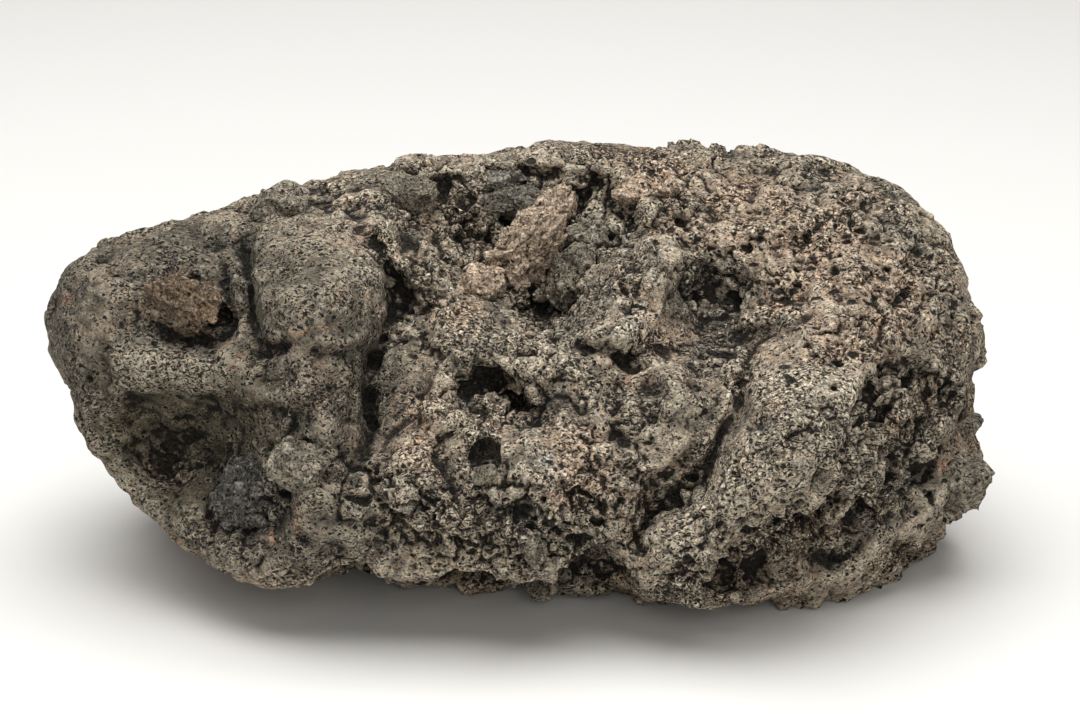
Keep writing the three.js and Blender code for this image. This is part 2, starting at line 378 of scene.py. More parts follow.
# clefts along a route: half width, depth, and how far the left of the route stands above the right
frontClefts = {
    "gapLeft": ([(-80, 27), (-78.5, 16), (-77, 8.5)], 1.4, 7, 0),
    "gapRight": ([(-75, 31), (-72.2, 17), (-69.5, 6.5)], 1.5, 9, 1.5),
    "shelfCrease": ([(-76, 8), (-84, 5.5), (-94, 6), (-101, 10)], 1.4, 3, 0),
    "shelfTurn": ([(-111, 6), (-106, -2.5), (-103, -8), (-106, -16)], 2.2, 2, 1),
    "lipGroove": ([(-56, 43), (-49, 39.5), (-41, 35.5), (-36, 28), (-32, 21)], 1.3, 4.5, 0),
    "lipGrooveTop": ([(-40, 44), (-34, 38), (-29, 31)], 1.3, 3, 0),
    "middleCleft": ([(-34, 14), (-35.5, 6.5), (-38.5, -0.5), (-39.5, -11), (-39.5, -19), (-41, -27)], 1.6,
                    14, 2.5),
    "greyNotch": ([(-60, -38), (-61, -33), (-65, -27), (-67, -23)], 1.4, 4.5, 0),
    "greyNotchTop": ([(-57, -21.5), (-52, -23.5), (-49.5, -26)], 1.2, 3, 0),
    "clinkerCrack": ([(-78, -33), (-73, -38), (-70, -45)], 1.2, 3, 0),
    "clinkerCrackTwo": ([(-70, -29), (-70, -37), (-63, -41)], 1.2, 3, 0),
    "ledgeShade": ([(-24, 4.5), (-20.5, 0.5), (-15, -3), (-9, -3), (-4, -1), (6.5, 1.5)], 1.4, 3.5, 0),
    "ledgeGroove": ([(-21.5, 6.5), (-17.5, 4), (-10, 4)], 1.0, 2.5, 0),
    "fingerGapOne": ([(-22, -16), (-27.5, -25)], 1.0, 3, 0),
    "fingerGapTwo": ([(-13.5, -18), (-20.5, -23), (-25.5, -30)], 1.1, 3.2, 0),
    "slotOne": ([(12, -4.5), (11.5, -12.5)], 0.8, 2, 0),
    "slotTwo": ([(28, -11), (27.5, -17)], 0.9, 2.6, 0),
    "lumpCrease": ([(10, 4.5), (17, 2), (19.5, -0.5), (25.5, 0.5), (30, 1.5), (37, 3), (46, 2)], 1.0, 1.2,
                   0),
    "slantCleft": ([(64, 1), (62.5, -4.5), (60, -11), (57, -18), (54, -24), (51, -30), (45, -36),
                    (38, -41), (33, -44.5), (32.5, -49), (34, -54)], 1.7, 14, -3),
    "roundCrease": ([(58, 6.5), (68, 7.5), (73.5, 9), (80, 11)], 1.2, 2.5, 0),
    "roundCreaseTwo": ([(49.5, 0.5), (55.5, 2.5), (61.5, 5), (70.5, 5.5)], 1.3, 3, 0),
    "sideCrease": ([(95, -2), (96, -19.5), (94.5, -30.5), (97, -44)], 1.8, 4.5, 0),
    "sideCleft": ([(104, -24), (101, -34), (103, -46)], 1.6, 4, 0),
    "footRib": ([(82, -39), (80, -50), (84, -60)], 2.2, 4, 0),
    "footRibTwo": ([(70, -42), (66, -52), (68, -62)], 2.0, 3.5, 0),
    "crackOne": ([(-19, 41), (-12, 37.5), (-9, 34)], 0.9, 3.5, 0),
    "crackTwo": ([(-9, 35), (-4, 36.5), (1, 36)], 1.3, 4, 0),
    "chunkCrack": ([(12, 34), (10.5, 27), (11, 21), (9.5, 17)], 1.1, 4.5, 0),
    "domeCrease": ([(34, 36), (29, 33), (21.5, 28), (18.5, 24), (18, 19.5), (15.5, 15.5), (12, 8)], 1.5,
                   6, -2),
    "tanCrack": ([(38.5, 54), (38, 46)], 1.1, 4, 0),
    "tanCrackTwo": ([(46, 53), (50, 46), (58, 41), (72, 39.5), (80, 42)], 1.3, 3.5, 0),
    "wallCrease": ([(-24, 36), (-17, 28), (-14, 18)], 1.2, 2.5, 0),
    "rimCrease": ([(-58, 47), (-48, 47.5), (-38, 49)], 1.3, 2.5, 0),
}

# caves: middle (across, up), half width, half height, turn in degrees, depth,
# and how far the floor slides (across, up)
frontCaves = {
    "socketVoid": (-82.0, 12.0, 4.8, 3.0, -25, 8, (1.5, 1)),
    "socketTop": (-89, 22.5, 8.0, 1.3, -22, 3, (0, 1)),
    "poreSlot": (-72.5, 2.2, 2.9, 1.0, 0, 3, (0, 0.5)),
    "roundPore": (-117, -5, 1.3, 1.3, 0, 5, (0, 0)),
    "hollowDeep": (-2, -11.5, 6.5, 2.6, -12, 5, (0, 1.5)),
    "hollowDeepTwo": (-12, -9, 4.2, 2.4, 0, 4, (0, 1)),
    "pebbleCave": (-7.5, -26, 4.4, 5.0, 20, 3.5, (0, 0.5)),
    "pitUnderChunk": (7.5, 13, 6.8, 4.3, 10, 10, (0, 2.5)),
    "pitBesideBlock": (30, 38, 3.2, 4.2, 35, 9, (0, 1)),
    "pitBehindChunk": (0.5, 38, 5.0, 2.8, 0, 7.5, (0, 1.5)),
    "roundDeep": (49.5, 16.0, 2.4, 1.5, 0, 3.5, (-1, 0.5)),
    "roundPit": (62.5, 14, 3.0, 2.0, -20, 4, (0, 0.5)),
    "lobePit": (84.5, -7.5, 1.9, 1.3, -10, 4.5, (0, 0.6)),
    "lobePitTwo": (73, -12.5, 1.8, 1.4, 20, 3, (0, 0.5)),
    "notchPit": (13, 7.5, 1.4, 1.8, 0, 3, (0, 0.5)),
    "notchPitTwo": (19.5, 2.5, 1.5, 1.1, 0, 2.5, (0, 0.5)),
}

# small knobs: middle (across, up), half width, half height, mm out
frontKnobs = {
    "cavePebble": (-5, -10.5, 2.4, 2.2, 3.5),
    "fingerOne": (-24, -13.5, 6.5, 2.4, 2.6),
    "roundKnob": (65.5, 11.5, 3.6, 3.0, 3.5),
    "paleKnob": (35, -1, 3.2, 2.6, 2.6),
    "craterChip": (-29, 20.5, 3.0, 1.6, 2.0),
}

# soft swellings and bowls: middle (across, up), half width, half height, turn in degrees, mm out
softShapes = {
    "leftBowl": (-91, -23, 23, 17, 10, -9),
    "bowlDeep": (-99, -24, 10, 9, 20, -4),
    "leftCheek": (-116, 12, 12, 16, 0, 3),
    "pillowBelly": (-56, 18, 12, 12, 0, 3),
    "middleBelly": (8, -30, 22, 16, 0, 4),
    "lobeBelly": (70, -22, 18, 16, -30, 4),
    "plateauDip": (48, 4, 16, 6, 10, -3),
    "roundBowl": (55.5, 17.5, 14, 12, 0, -3.5),
    "middleBowl": (-7, -11, 15, 8, -8, -5),
    "shoulderBlock": (93, 26, 12, 16, -30, 3),
    "domeSwell": (36, 24, 14, 10, 20, 4),
    "sideDip": (106, -30, 10, 14, 10, -4),
    "rimSaddle": (-72, 46, 10, 6, 0, -3),
}

# hollows under the rock's edge: middle (x, y, z) and half sizes, pushed up and inward
underHollows = {
    "leftArch": ((-42, -58, 2), (18, 24, 27)),
    "middleArch": ((-14, -70, -3), (38, 34, 28)),
    "rightArch": ((21, -74, 0), (17, 32, 32)),
}


def insideDistance(place, outline):  # mm inside the outline, negative outside
    best = np.full(len(place), 1e6, np.float32)
    inside = np.zeros(len(place), bool)
    x, y = place[:, 0], place[:, 1]
    for (x1, y1), (x2, y2) in zip(outline, outline[1:] + outline[:1]):
        alongX, alongY = x2 - x1, y2 - y1
        share = np.clip(((x - x1) * alongX + (y - y1) * alongY) / (alongX ** 2 + alongY ** 2), 0, 1)
        best = np.minimum(best, (x - x1 - share * alongX) ** 2 + (y - y1 - share * alongY) ** 2)
        if y1 != y2:
            inside ^= ((y1 > y) != (y2 > y)) & (x < alongX * (y - y1) / alongY + x1)
    return np.where(inside, 1, -1) * np.sqrt(best)


def routeDistance(place, route):  # mm from the route, and which side of it: 1 left, -1 right
    best = np.full(len(place), 1e6, np.float32)
    side = np.zeros(len(place), np.float32)
    along = np.zeros(len(place), np.float32)
    pieces = len(route) - 1
    for index, ((x1, y1), (x2, y2)) in enumerate(zip(route, route[1:])):
        alongX, alongY = x2 - x1, y2 - y1
        fromX, fromY = place[:, 0] - x1, place[:, 1] - y1
        share = np.clip((fromX * alongX + fromY * alongY) / (alongX ** 2 + alongY ** 2), 0, 1)
        away = (fromX - share * alongX) ** 2 + (fromY - share * alongY) ** 2
        closer = away < best
        best = np.where(closer, away, best)
        side = np.where(closer, np.sign(alongX * fromY - alongY * fromX), side)
        along = np.where(closer, (index + share) / pieces, along)
    return np.sqrt(best), side, along


def inBox(place, corners, margin):  # which places lie within a margin of the box round the corners
    low = corners.min(0) - margin
    high = corners.max(0) + margin
    return ((place[:, :2] > low) & (place[:, :2] < high)).all(1)


def turned(x, y, degrees):  # the same place along axes turned by that many degrees
    angle = math.radians(degrees)
    return x * math.cos(angle) + y * math.sin(angle), y * math.cos(angle) - x * math.sin(angle)


def rimDistance(place):  # how far in front of the rim a place lies, negative on the far side
    return place[:, 2] - (rockFrame["rimOut"] - rockFrame["rimSlope"] * place[:, 1])


def bend(points, size, amount, seed):  # noise-bent places, so that no outline is a clean curve
    shift = np.stack([layeredNoise(points, size, 3, seed + 31 * axis) for axis in range(3)], 1)
    return points + amount * shift


def pressPlates(points, plates, bendAmount):
    place = toFace(bend(points, 13, bendAmount, 5))
    front = ramp(-4, 8, rimDistance(toFace(points)))
    move = np.zeros_like(points)
    for one in plates.values():
        near = inBox(place, np.array(one["outline"]), one["edge"] + 1) & (front > 0)
        depth = insideDistance(place[near, :2], one["outline"])
        share = ramp(-one["edge"] / 2, one["edge"] / 2, depth)
        crown = 1 - (1 - np.clip(depth / one["domeReach"], 0, 1)) ** 2
        rise = one["rise"] * share + one["dome"] * crown
        move[near, 2] += rise * front[near]
        move[near, 0] += one["slide"][0] * share * front[near]
        move[near, 1] += one["slide"][1] * share * front[near]
    return points + move @ faceAxes


def cutClefts(points, clefts, bendAmount):
    place = toFace(bend(points, 9, bendAmount, 77))
    front = ramp(-4, 8, rimDistance(toFace(points)))
    move = np.zeros(len(points), np.float32)
    for route, width, depth, step in clefts.values():
        margin = max(3 * width, 7 if step else 0)
        near = inBox(place, np.array(route), margin) & (front > 0)
        away, side, along = routeDistance(place[near, :2], route)
        taper = ramp(0, 0.12, along) * (1 - ramp(0.88, 1, along)) * 0.7 + 0.3
        groove = np.clip(1 - away / (2 * width), 0, 1) ** 1.4
        move[near] -= (depth * groove * taper - step * side * np.exp(-(away / 3.0) ** 2) * 0.5) * front[near]
    return points + move[:, None] * faceOut


def openCaves(points, caves, bendAmount):
    place = toFace(points)
    bent = toFace(bend(bend(points, 7, bendAmount, 140), 2.5, 0.7, 145))
    front = ramp(-4, 6, rimDistance(place))
    reach = 2.1  # radians from the floor's middle to the rim, so that the walls undercut it
    for across, up, halfWidth, halfHeight, turn, depth, slide in caves.values():
        x = bent[:, 0] - across
        y = bent[:, 1] - up
        along, beside = turned(x, y, turn)
        share = np.sqrt((along / halfWidth) ** 2 + (beside / halfHeight) ** 2)
        near = (share < 1) & (front > 0.5)
        part = np.maximum(share[near], 1e-4)
        polar = part * reach
        spread = np.sin(polar) / math.sin(reach) / part
        sink = depth * (np.cos(polar) - math.cos(reach)) / (1 - math.cos(reach))
        fade = 1 - ramp(0.85, 1.0, part)
        sunk = sink / depth
        place[near, 0] += ((spread - 1) * x[near] * 0.8 + slide[0] * sunk) * fade
        place[near, 1] += ((spread - 1) * y[near] * 0.8 + slide[1] * sunk) * fade
        place[near, 2] -= sink * (0.3 + 0.7 * fade)
    return fromFace(place)


def raiseKnobs(points, knobs):
    place = toFace(points)
    bent = toFace(bend(points, 5, 1.0, 210))
    front = ramp(-4, 6, rimDistance(place))
    for across, up, halfWidth, halfHeight, rise in knobs.values():
        share = ((bent[:, 0] - across) / halfWidth) ** 2 + ((bent[:, 1] - up) / halfHeight) ** 2
        place[:, 2] += rise * np.sqrt(np.clip(1 - share, 0, 1)) * front
    return fromFace(place)


def swell(points, shapes):
    place = toFace(points)
    bent = toFace(bend(points, 15, 3.0, 250))
    front = ramp(-4, 8, rimDistance(place))
    for across, up, halfWidth, halfHeight, turn, rise in shapes.values():
        along, beside = turned(bent[:, 0] - across, bent[:, 1] - up, turn)
        away = np.hypot(along / halfWidth, beside / halfHeight)
        place[:, 2] += rise * (1 - ramp(0, 1.25, away)) * front
    return fromFace(place)


def hollowUnder(points, hollows):  # pushes the surface up and inward until it is out of each hollow
    push = np.array((0.0, 0.82, 0.57))
    for middle, half in hollows.values():
        scaled = (bend(points, 16, 3.0, 300) - np.array(middle)) / np.array(half)
        away = np.linalg.norm(scaled, axis=1)
        inside = away < 1
        inward = push / np.array(half)
        # where the line from the point along the push leaves the hollow
        a = (inward ** 2).sum()
        b = 2 * (scaled[inside] @ inward)
        c = (scaled[inside] ** 2).sum(1) - 1
        travel = (-b + np.sqrt(b * b - 4 * a * c)) / (2 * a)
        soft = ramp(0, 0.25, 1 - away[inside])
        points[inside] += (travel * soft)[:, None] * push
    return points


# zones of the crust, in (across, up): which outlines, and how far the zone fades past them in mm

zones = {
    "smooth": ([leftHollowOutline, pillowOutline, leftFaceOutline, tongueOutline,
                [(-128, -4), (-128, 20), (-118, 27), (-104, 22), (-106, 6), (-112, -8)],
                [(66, -5), (79, -2), (93, -3), (92, -10), (78, -8), (67, -10)]], 5),
    "rough": ([clinkerOutline, middleHollowOutline, brownChunkOutline,
               [(-26, 44), (-8, 52), (28, 52), (34, 40), (26, 30), (12, 9), (-4, 16), (-10, 30)],
               [(-38, -28), (-30, -50), (0, -54), (28, -50), (28, -38), (8, -34), (-10, -36), (-24, -30)],
               rightUndersideOutline], 5),
    "olive": ([[(-112, -9), (-88, -8), (-66, -10), (-66, -22), (-80, -30), (-90, -42), (-104, -38),
                (-113, -22)]], 11),
    "dark": ([clinkerOutline, roundHollowOutline, [(-2, 46), (8, 44), (4, 34), (-8, 35)],
              [(45, 22), (56, 28), (68, 22), (66, 12), (54, 9), (44, 12)],
              [(64, 2), (74, 5), (80, 9), (72, 12), (62, 8), (54, 4)],
              [(-36, 27), (-28, 21), (-24, 15), (-28, 8), (-36, 10)],
              [(98, -26), (120, -26), (118, -36), (100, -40)]], 4),
    "brown": ([claspedStoneOutline, brownChunkOutline, [(-28, 46), (-14, 46), (-10, 34), (-26, 26)],
               [(100, -8), (108, -12), (104, -30), (97, -26)],
               [(48, -56), (62, -46), (76, -42), (88, -38), (92, -48), (80, -60), (56, -64)]], 4),
    "tan": ([plateauOutline, tanShelfOutline, [(28, 54), (46, 55), (46, 45), (30, 45)],
             [(-24, 16), (-12, 16), (-13, 11), (-21, 10)], [(-30, -14), (-20, -6), (-24, -26), (-36, -24)],
             [(10, -20), (24, -18), (26, -34), (12, -36)], [(34, 10), (46, 10), (46, 3), (36, 3)],
             [(70, 4), (88, 6), (92, 20), (74, 18)]], 6),
    "pale": ([[(66, -5), (79, -2), (93, -3), (90, -12), (74, -10)],
              [(18, 5), (24, 12), (34, 11), (36, 5), (26, 2)],
              [(5, -24), (11, -24), (11, -29), (5, -29)],
              [(-110, 2), (-88, 1), (-74, -3), (-88, -8), (-106, -6)],
              [(40, -40), (58, -28), (72, -34), (58, -50), (46, -56)],
              [(-4, -1), (8, 3), (22, 0), (6, -4)]], 5),
    "dusky": ([[(-134, 28), (-90, 36), (-74, 34), (-66, 30), (-50, 22), (-36, 4), (-40, -30), (-50, -56),
                (-100, -56), (-136, -10)]], 12),
    "ribbed": ([rightUndersideOutline], 6),
    "pores": ([plateauOutline, [(70, 36), (104, 38), (122, 12), (118, -6), (100, 0), (86, 8)],
               [(-40, -30), (-26, -52), (4, -54), (30, -48), (28, -34), (6, -32), (-20, -34)]], 8),
}

# small spots of minerals: middle (across, up), half width and half height
pinkSpots = [(-123.5, 16.5, 2.6, 1.8), (-106.5, -35, 1.6, 3.0), (-58, 7.5, 4.0, 1.2), (-50, 8.6, 3.0, 0.9),
             (-74, -1, 2.0, 2.6), (-68, -4.5, 1.4, 0.7), (-57.8, -43, 1.7, 4.6), (-65.5, -48.5, 1.4, 2.2),
             (60, -6, 3.0, 1.6), (-60, 28, 1.4, 1.2), (103, -17, 1.6, 2.6), (30, -6, 1.6, 1.2)]
whiteSpots = [(43.5, -59.5, 2.6, 2.0), (5.5, -50, 2.4, 3.2), (8, -26.5, 3.0, 2.6), (29.5, 6.5, 3.6, 2.8)]

# the far side's zones: size of a patch in mm, and the noise between which it fades in
farZones = {
    "smooth": (42, 0.05, 0.3), "rough": (36, 0.1, 0.35), "olive": (40, 0.2, 0.45), "dark": (26, 0.28, 0.5),
    "brown": (30, 0.25, 0.5), "tan": (38, 0.1, 0.4), "pale": (24, 0.3, 0.55), "pores": (44, 0.0, 0.3),
    "pink": (9, 0.66, 0.74), "ribbed": (45, 0.2, 0.5), "dusky": (60, -0.1, 0.4),
}


def zoneMask(place, front, outlines, fade):
    mask = np.zeros(len(place), np.float32)
    for outline in outlines:
        mask = np.maximum(mask, ramp(-fade, fade * 0.35, insideDistance(place[:, :2], outline)))
    return mask * front


def spotMask(place, front, spots):
    mask = np.zeros(len(place), np.float32)
    for across, up, halfWidth, halfHeight in spots:
        away = np.hypot((place[:, 0] - across) / halfWidth, (place[:, 1] - up) / halfHeight)
        mask = np.maximum(mask, 1 - ramp(0.6, 1.15, away))
    return mask * front


def findZones(points):  # every zone's share at each point, with wider, looser zones on the far side
    place = toFace(bend(points, 12, 4.0, 400))
    front = ramp(-2, 10, rimDistance(toFace(points)))
    found = {name: zoneMask(place, front, outlines, fade) for name, (outlines, fade) in zones.items()}
    finePlace = toFace(bend(points, 4, 1.2, 450))
    patchy = ramp(-0.3, 0.3, layeredNoise(points, 2.5, 2, 470))
    found["pink"] = spotMask(finePlace, front, pinkSpots) * patchy
    found["white"] = spotMask(finePlace, front, whiteSpots)
    for index, (name, (size, low, high)) in enumerate(farZones.items()):
        patches = ramp(low, high, layeredNoise(points, size, 3, 500 + index))
        found[name] = np.maximum(found[name], (1 - front) * patches)
    return found


grainSettings = {
    # size of a block, depth of the crease round it, how far it steps, how much its face tilts, all in mm
    "blocks": (27, 3.0, 2.4, 3.5), "stones": (14.5, 2.3, 1.8, 4.4), "chips": (7.8, 1.0, 0.7, 2.2),
    "crumbs": (3.0, 0.04, 0.1, 0.36),
    "lumpSize": 13, "lumpHeight": 1.2,
    "grainSize": 2.0, "grainHeight": 0.22,
    "crackSizes": (19, 9), "crackDepths": (1.3, 0.9), "crackWidth": 0.1,
    "holeSize": 4.4, "holeDepth": 1.8,
    "streakSize": 2.2, "streakHeight": 1.0,
    "ribSize": 10, "ribHeight": 6.5, "cragSize": 13, "cragHeight": 2.1,
}


# blocks as the crust broke, creased where they meet
def brokenFaces(points, kind, bendSize, bendAmount, seed):
    size, crease, step, tilt = grainSettings[kind]
    near, second, number, facet = cellNoise(bend(points, bendSize, bendAmount, seed), size, seed)
    gap = second - near
    joint = ramp(0, 0.12, gap)
    return ((number - 0.5) * 2 * step + facet * tilt) * joint - crease * (1 - ramp(0, 0.18, gap))


def drawnNoise(points, degrees, size, seed):  # noise drawn out along one direction of the face
    place = toFace(points)
    along, beside = turned(place[:, 0], place[:, 1], degrees)
    return layeredNoise(np.stack([along * 0.2, beside, place[:, 2] * 0.6], 1), size, 2, seed)


# places where no block stands out of the crust: middle (x, y, z) and reach, in mm
calmPlaces = {"backEdge": ((52, 54, 104), 15), "middleFront": ((16.4, -47, 60.4), 10)}


def addBlocks(points, normals, found):
    settings = grainSettings
    fromRim = rimDistance(toFace(points))
    front = ramp(-4, 14, fromRim)
    rim = np.exp(-(fromRim / 10) ** 2)  # less along the rim, whose line stays calm
    calm = (1 - 0.8 * np.maximum(found["smooth"], found["olive"] * front)) * (1 - 0.5 * rim)
    for middle, reach in calmPlaces.values():
        calm *= ramp(0.5, 1, np.linalg.norm(points - np.array(middle), axis=1) / reach)
    move = brokenFaces(points, "blocks", 20, 8, 600) * (1 - 0.66 * front) * calm
    patches = ramp(-0.2, 0.15, layeredNoise(points, 34, 2, 640))
    ribs = np.abs(drawnNoise(points, 68, settings["ribSize"], 660))
    move += settings["ribHeight"] * (0.35 - 2.2 * ribs) * found["ribbed"] * front
    crags = np.abs(layeredNoise(bend(points, 10, 3, 670), settings["cragSize"], 2, 671))
    uneven = ramp(-0.15, 0.25, layeredNoise(points, 40, 2, 675))
    move += settings["cragHeight"] * (0.4 - 2.0 * crags) * np.maximum(uneven, found["rough"]) * calm
    stones = brokenFaces(points, "stones", 9, 3, 620) * (0.2 + 0.8 * patches)
    move += stones * (0.5 + 0.7 * found["rough"]) * calm
    return points + move[:, None] * normals


def windingCracks(points, size, seed):  # thin winding cracks, 1 along their middles, in some stretches only
    line = np.abs(layeredNoise(bend(points, size * 0.5, size * 0.12, seed), size, 2, seed + 1))
    stretches = ramp(-0.25, 0.2, smoothNoise(points, size * 1.7, seed + 2))
    return (1 - ramp(0.0, grainSettings["crackWidth"], line)) * stretches


def addGrain(points, normals, found):
    settings = grainSettings
    place = toFace(points)
    fromRim = rimDistance(place)
    even = ramp(-4, 6, fromRim) * (1 - ramp(-56, -38, place[:, 0]))  # the left of the face is more even
    rim = np.exp(-(fromRim / 9) ** 2)
    rough = (0.85 + 0.5 * found["rough"] - 0.5 * found["smooth"]) * (1 - 0.3 * even) * (1 - 0.5 * rim)
    move = settings["lumpHeight"] * layeredNoise(points, settings["lumpSize"], 2, 710)
    broken = ramp(-0.12, 0.15, layeredNoise(points, 26, 3, 705))
    broken = np.maximum(broken, np.maximum(found["ribbed"], found["rough"]) * 0.8)
    move += brokenFaces(points, "chips", 5, 1.6, 720) * rough * (0.12 + 0.88 * broken)
    move += brokenFaces(points, "crumbs", 3, 0.8, 725) * rough
    cracked = 0.6 + 0.5 * found["rough"] - 0.3 * found["smooth"]
    for size, depth in zip(settings["crackSizes"], settings["crackDepths"]):
        move -= depth * windingCracks(points, size, 780 + size) * cracked
    grain = np.abs(smoothNoise(bend(points, 4, 0.8, 728), settings["grainSize"], 730)) * 2 - 0.45
    move -= settings["grainHeight"] * grain * rough
    streaks = np.where(place[:, 0] < -70, drawnNoise(points, -24, settings["streakSize"], 760),
                       drawnNoise(points, 38, settings["streakSize"], 765))
    move += settings["streakHeight"] * streaks * (found["brown"] + 0.35 * found["smooth"])
    near, second, number, facet = cellNoise(bend(points, 4, 1.2, 740), settings["holeSize"], 75)
    size = 0.2 + 0.22 * number
    holes = (1 - ramp(size * 0.6, size, near)) * (number > 0.66 - 0.25 * found["pores"])
    move -= settings["holeDepth"] * holes * (0.25 + 1.0 * np.maximum(found["pores"], 0.6 * found["rough"]))
    return points + move[:, None] * normals


def keepAttribute(mesh, name, values):
    attribute = mesh.attributes.new(name, "FLOAT", "POINT")
    attribute.data.foreach_set("value", values.astype(np.float32))


# stones caught in the lava: middle (across, up), mm out from the surface there, half sizes (long, wide,
# thick), turn in the face in degrees, roughness of the breaks, share of streaks
caughtStones = {
    "brown": {
        "claspedStone": ((-90.2, 16.0), 0.5, (9.6, 5.7, 6), -30, 0.6, 1.8),
        "backStone": ((-48, 8), -3.8, (10, 7, 7), 30, 0.7, 0.4),
        "backStoneTwo": ((52, -18), -2.5, (8.5, 7, 7), -50, 0.7, 0.4),
    },
    "tawny": {
        "diagonalChunk": ((2.5, 29.5), 0.0, (16, 7.5, 9), 45, 1.2, 1.3),
        "upperChunk": ((10.5, 40.5), 0.0, (8, 5.5, 7), 60, 1.0, 0.8),
        "lowChunk": ((-10, 21), -1.5, (8, 5, 6), 30, 0.9, 0.6),
        "tanBlock": ((33.5, 47.5), -2.0, (5.5, 4, 4.5), 10, 0.7, 0.2),
        "tanBlockRight": ((43, 48), -2.2, (3.8, 4.2, 4.5), -10, 0.7, 0.2),
    },
    "charcoal": {
        "clinker": ((-72.5, -36.5), -0.5, (11.5, 9.5, 6), 25, 1.3, 0.1),
        "backClinker": ((10, 14), -3.0, (10, 8, 7), -20, 0.9, 0.1),
    },
    "slate": {
        "greyBlue": ((-1, 44), -1.0, (9, 4.6, 6), -5, 1.1, 0.1),
        "greyBlueTop": ((-7, 49.5), -2.6, (8.5, 3.8, 5), 12, 1.1, 0.1),
    },
    "ashen": {
        "rimStone": ((-66, 42.5), -4.6, (8.0, 5.6, 6.0), 10, 0.8, 0.1),
        "sliver": ((-75.4, 16.5), 0.0, (6.5, 2.3, 4), -80, 1.2, 0.3),
        "greyBlock": ((-57.5, -28), 0.0, (8, 7, 6), 40, 0.7, 0.2),
        "secondChunk": ((15.0, 24.0), 1.5, (9.5, 5, 7), 66, 0.9, 0.5),
        "thirdChunk": ((20.5, 34.0), 1.0, (7.5, 6.5, 7), -25, 0.9, 0.4),
        "pebble": ((-8.2, -30.4), 1.0, (3.4, 2.6, 3), 15, 0.4, 0.2),
        "footKnob": ((5, -51), 0.0, (3.4, 4.0, 4), 0, 0.9, 0.1),
        "rightKnob": ((126, -18.5), -1.0, (4.5, 3.2, 4), 10, 0.9, 0.1),
        "rightFoot": ((126, -34.5), -1.0, (6.6, 7.8, 8), 0, 0.9, 0.1),
        "shoulderStone": ((-30, 46), -2.0, (9, 5, 6), 10, 0.8, 0.3),
        "backBlock": ((-86, -8), -5.2, (12, 9, 8), 15, 0.8, 0.2),
        "backBlockTwo": ((84, 12), -5.2, (10, 8, 8), 60, 0.8, 0.2),
    },
}
farStones = ("backStone", "backStoneTwo", "backClinker", "backBlock", "backBlockTwo")
breakSettings = {
    "count": 11, "nearest": 0.62, "furthest": 0.86,  # flat breaks, as shares of the stone's half size
    "chips": ((6.5, 1.8), (2.6, 0.5)),               # size of a chip and how much its face tilts, in mm
    "fullness": 1.12,                                # makes up for what the breaks take off
    "fineAbove": 8.8,                                # half size in mm from which a stone has smaller faces
    "lumpSize": 7, "lumpHeight": 1.1, "grainSize": 1.7, "grainHeight": 0.35,
    "streakSize": 1.9, "streakHeight": 0.85, "streakStretch": (0.18, 1.0, 0.8),
}


# where the surface lies, in mm out, at a place of the face or of the far side
def surfaceOut(place, across, up, far):
    away = np.hypot(place[:, 0] - across, place[:, 1] - up)
    near = place[away < 2.0, 2]
    if len(near) == 0:
        near = place[np.argsort(away)[:12], 2]
    return near.min() if far else near.max()


def shapeStone(rockPlace, name, stone, seed):
    settings = breakSettings
    (across, up), stand, half, turn, roughness, streaked = stone
    large = half[0] > settings["fineAbove"] and stand > -2.4
    ball = bmesh.new()
    bmesh.ops.create_icosphere(ball, subdivisions=6 if large else 5, radius=1)
    points = np.array([vertex.co[:] for vertex in ball.verts], np.float32)
    faces = [[vertex.index for vertex in face.verts] for face in ball.faces]
    ball.free()
    dice = np.random.default_rng(seed)
    for _ in range(settings["count"]):
        normal = dice.normal(size=3)
        normal /= np.linalg.norm(normal)
        over = points @ normal - dice.uniform(settings["nearest"], settings["furthest"])
        points -= np.maximum(over, 0)[:, None] * normal
    outward = points / np.linalg.norm(points, axis=1)[:, None]
    points = points * np.array(half) * settings["fullness"]
    shifted = points + dice.uniform(-50, 50, 3)
    move = settings["lumpHeight"] * layeredNoise(shifted, settings["lumpSize"], 2, seed)
    for size, tilt in settings["chips"]:
        near, second, number, facet = cellNoise(bend(shifted, 5, 1.2, seed + 3), size, seed + 5)
        move += roughness * ((number - 0.5) * tilt + facet * tilt) * ramp(0, 0.14, second - near)
    grain = np.abs(smoothNoise(shifted, settings["grainSize"], seed + 9)) * 2 - 0.4
    move -= settings["grainHeight"] * roughness * grain
    drawn = shifted * np.array(settings["streakStretch"])
    streaks = layeredNoise(drawn, settings["streakSize"], 2, seed + 11)
    move += settings["streakHeight"] * streaked * streaks
    points = points + (move * min(1.0, half[1] / 5))[:, None] * outward
    angle = math.radians(turn)
    cos, sin = math.cos(angle), math.sin(angle)
    spin = np.array([(cos, sin, 0), (-sin, cos, 0), (0, 0, 1)])
    far = name in farStones
    out = surfaceOut(rockPlace, across, up, far)
    points = points @ spin
    points += np.array((across, up, out - stand if far else out + stand))
    return fromFace(points.astype(np.float32)), faces


